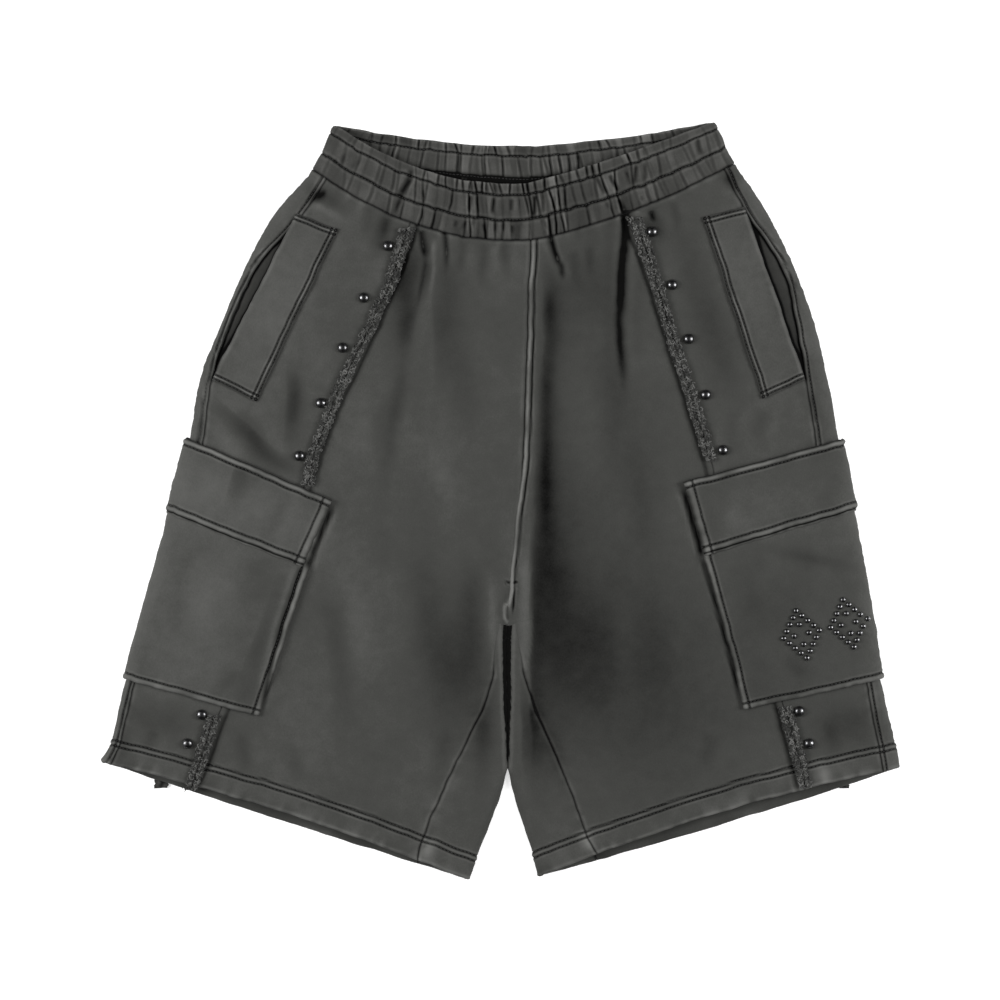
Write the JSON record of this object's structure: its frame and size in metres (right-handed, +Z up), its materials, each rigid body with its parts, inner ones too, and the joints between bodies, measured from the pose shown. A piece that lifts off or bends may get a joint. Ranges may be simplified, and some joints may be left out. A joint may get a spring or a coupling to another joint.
{
  "type": "sweat shorts",
  "caption": "Cargo sweat shorts laid flat: gathered elastic waistband, panelled wide legs, welt side pockets, wrapped cargo pockets with flaps, raw-edged seam strips, dome studs.",
  "frame": {"origin": "middle of the length and width of the laid-out shorts, on the surface they lie on", "axes": "+X towards the wearer's left leg, which lies on the right as the front is seen; +Y from the hems up to the waistband; +Z up off the surface, out of the front"},
  "size_m": [0.679, 0.646, 0.0148],
  "materials": {
    "fleece": "garment-washed charcoal cotton fleece, matt, paler along seams and edges",
    "waistband": "the same fleece, gathered over elastic, two stitch rows",
    "raw_edge": "cut fleece edge, frayed and fuzzy",
    "pocket_inside": "the same fleece in the shade of the pocket mouth",
    "gunmetal": "polished dark gunmetal plating"
  },
  "bodies": {
    "root": {"back_panel_left": "fleece", "back_panel_right": "fleece", "cargo_flap_left": "fleece", "cargo_flap_right": "fleece", "cargo_pocket_left": "fleece", "cargo_pocket_right": "fleece", "centre_front_left": "fleece", "centre_front_right": "fleece", "inner_leg_left": "fleece", "inner_leg_right": "fleece", "pocket_facing_left": "pocket_inside", "pocket_facing_right": "pocket_inside", "raw_strip_back_left": "raw_edge", "raw_strip_back_right": "raw_edge", "raw_strip_lower_left": "raw_edge", "raw_strip_lower_right": "raw_edge", "raw_strip_upper_left": "raw_edge", "raw_strip_upper_right": "raw_edge", "side_front_left": "fleece", "side_front_right": "fleece", "stud_left_1": "gunmetal", "stud_left_2": "gunmetal", "stud_left_3": "gunmetal", "stud_left_4": "gunmetal", "stud_left_5": "gunmetal", "stud_left_6": "gunmetal", "stud_left_7": "gunmetal", "stud_right_1": "gunmetal", "stud_right_2": "gunmetal", "stud_right_3": "gunmetal", "stud_right_4": "gunmetal", "stud_right_5": "gunmetal", "stud_right_6": "gunmetal", "stud_right_7": "gunmetal", "waistband": "waistband", "welt_left": "fleece", "welt_right": "fleece"}
  },
  "joints": []
}
